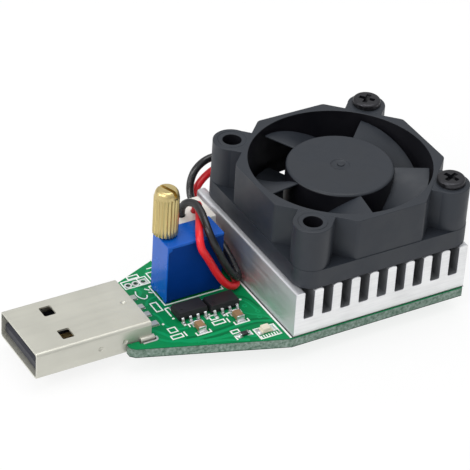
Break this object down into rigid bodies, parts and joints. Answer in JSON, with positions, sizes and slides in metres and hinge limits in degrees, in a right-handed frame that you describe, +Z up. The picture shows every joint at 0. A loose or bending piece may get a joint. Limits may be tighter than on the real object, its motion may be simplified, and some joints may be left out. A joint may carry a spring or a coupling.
{
  "type": "dc electronic load",
  "caption": "Plug-in electronic load on a tapered circuit board: plug at one end, finned heat sink with a fan on top, and a multi-turn trimmer with a fluted knob.",
  "frame": {"origin": "under the middle of the board assembly's length and width, at the level of the power transistor's underside, which the object rests on", "axes": "+X from the plug's mouth towards the fan, +Z up out of the board's top, Y across the board"},
  "size_m": [0.0684, 0.0332, 0.0227],
  "materials": {
    "board_green": "green solder mask, satin",
    "nickel_plate": "satin nickel plate",
    "black_nylon": "satin",
    "gold_plate": "polished",
    "aluminium": "satin extrusion",
    "pad_grey": "matt",
    "fan_black": "matt moulded",
    "steel": "ground",
    "ferrite": "matt",
    "bronze": "sintered",
    "copper_wire": "enamelled wire",
    "screw_black": "black oxide",
    "trimmer_blue": "glossy moulded",
    "brass": "turned",
    "seal_rubber": "matt",
    "white_nylon": "cream moulded",
    "wiper_spring": "rolled",
    "element_ceramic": "matt ceramic",
    "tin_plate": "tinned",
    "red_wire": "satin insulation",
    "black_wire": "satin insulation",
    "chip_black": "moulded",
    "capacitor_brown": "fired ceramic",
    "lamp_white": "clear resin",
    "resistor_black": "glazed"
  },
  "bodies": {
    "root": {"board": "board_green", "usb_shell": "nickel_plate", "usb_insulator": "black_nylon", "usb_contact_1": "gold_plate", "usb_contact_2": "gold_plate", "usb_contact_3": "gold_plate", "usb_contact_4": "gold_plate", "heatsink": "aluminium", "thermal_pad": "pad_grey", "fan_frame": "fan_black", "fan_bearing": "bronze", "stator_core": "steel", "stator_coil_1": "copper_wire", "stator_coil_2": "copper_wire", "stator_coil_3": "copper_wire", "stator_coil_4": "copper_wire", "fan_driver_board": "board_green", "fan_screw_1": "screw_black", "fan_screw_2": "screw_black", "trimmer_housing": "trimmer_blue", "trimmer_base": "black_nylon", "trimmer_pin_1": "tin_plate", "trimmer_pin_2": "tin_plate", "trimmer_pin_3": "tin_plate", "trimmer_seal": "seal_rubber", "trimmer_element": "element_ceramic", "fan_header": "white_nylon", "header_pin_1": "tin_plate", "header_pin_2": "tin_plate", "fan_plug": "white_nylon", "lead_black": "black_wire", "lead_red": "red_wire", "amplifier_chip": "chip_black", "controller_chip": "chip_black", "capacitor_1": "capacitor_brown", "capacitor_2": "capacitor_brown", "resistor": "resistor_black", "shunt_resistor": "resistor_black", "indicator_lamp": "lamp_white", "transistor_body": "chip_black", "transistor_tab": "tin_plate", "transistor_gate_lead": "tin_plate", "transistor_source_lead": "tin_plate"},
    "rotor": {"fan_rotor": "fan_black", "rotor_yoke": "steel", "rotor_magnet": "ferrite", "fan_shaft": "steel", "shaft_clip": "steel"},
    "adjuster": {"trimmer_knob": "brass", "trimmer_worm": "brass"},
    "wiper_wheel": {"trimmer_wheel": "white_nylon", "trimmer_wiper": "wiper_spring"}
  },
  "joints": [
    {"name": "fan_spin", "type": "hinge", "parent": "root", "child": "rotor", "pos_m": [0.01921, 0, 0.01675], "axis": [0, 0, 1], "continuous": true},
    {"name": "trimmer_turn", "type": "hinge", "parent": "root", "child": "adjuster", "pos_m": [-0.00861, 0.0034, 0.0144], "axis": [0, 0, 1], "continuous": true},
    {"name": "wiper_turn", "type": "hinge", "parent": "root", "child": "wiper_wheel", "pos_m": [-0.00517, 0.0034, 0.01045], "axis": [0, 1, 0], "continuous": true}
  ],
  "couplings": [
    {"joint": "wiper_turn", "follows": "trimmer_turn", "ratio": -0.028571}
  ]
}
